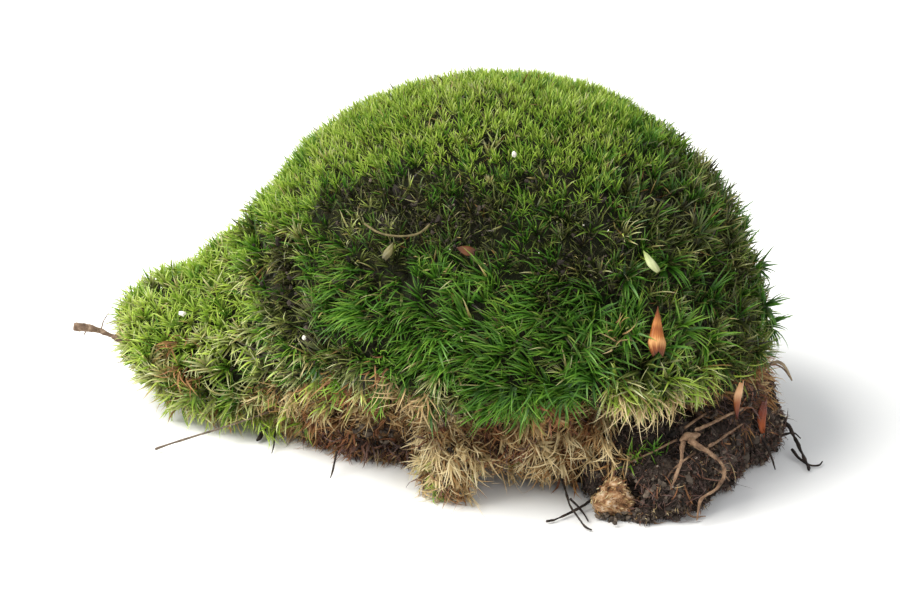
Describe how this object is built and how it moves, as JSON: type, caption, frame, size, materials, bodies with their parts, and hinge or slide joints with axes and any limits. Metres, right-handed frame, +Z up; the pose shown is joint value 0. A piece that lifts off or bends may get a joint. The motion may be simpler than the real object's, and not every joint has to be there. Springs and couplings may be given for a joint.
{
  "type": "moss clump",
  "caption": "Clump of cushion moss lifted off the forest floor: a domed green cushion with a low tail on a mat of dead shoots and dark peat, with twigs, roots and bud scales caught in it.",
  "frame": {"origin": "on the resting plane, under the middle of the clump's bounding box", "axes": "+X along the clump from its low tail to its peat lump, +Y towards its back, +Z up"},
  "size_m": [0.1382, 0.0912, 0.0701],
  "materials": {
    "living_moss": "fine upright leaves, yellow green at the tips and deep green on the flanks",
    "dead_shoots": "matted straw-brown dead leaves",
    "peat": "dark crumbly peat, dull",
    "bark": "weathered brown bark",
    "straw": "dry stalk",
    "root": "thin brown rootlets",
    "dark_twig": "dark grey-brown twiglets",
    "bud_scale": "papery orange-tan bud scale",
    "bract": "papery red-brown bract",
    "husk": "pale greenish husk",
    "quartz": "white grit",
    "pale_wood": "soft rotten wood"
  },
  "bodies": {
    "root": {"moss_cushion": "living_moss", "dead_shoot_mat": "dead_shoots", "peat_lump": "peat", "left_twig": "bark", "left_stalk": "straw", "dome_stalk": "straw", "root_loop": "root", "root_left_strand": "root", "root_upper_strand": "root", "root_lower_strand": "root", "right_root": "root", "right_twig": "dark_twig", "pale_twig": "dark_twig", "crossing_twig": "dark_twig", "front_bud_scale": "bud_scale", "small_bud_scale": "bud_scale", "pale_flake": "husk", "seed_husk": "husk", "right_bract": "bract", "small_bract": "bract", "tail_grit": "quartz", "crown_grit": "quartz", "valley_grit": "quartz", "rotten_wood": "pale_wood"}
  },
  "joints": []
}
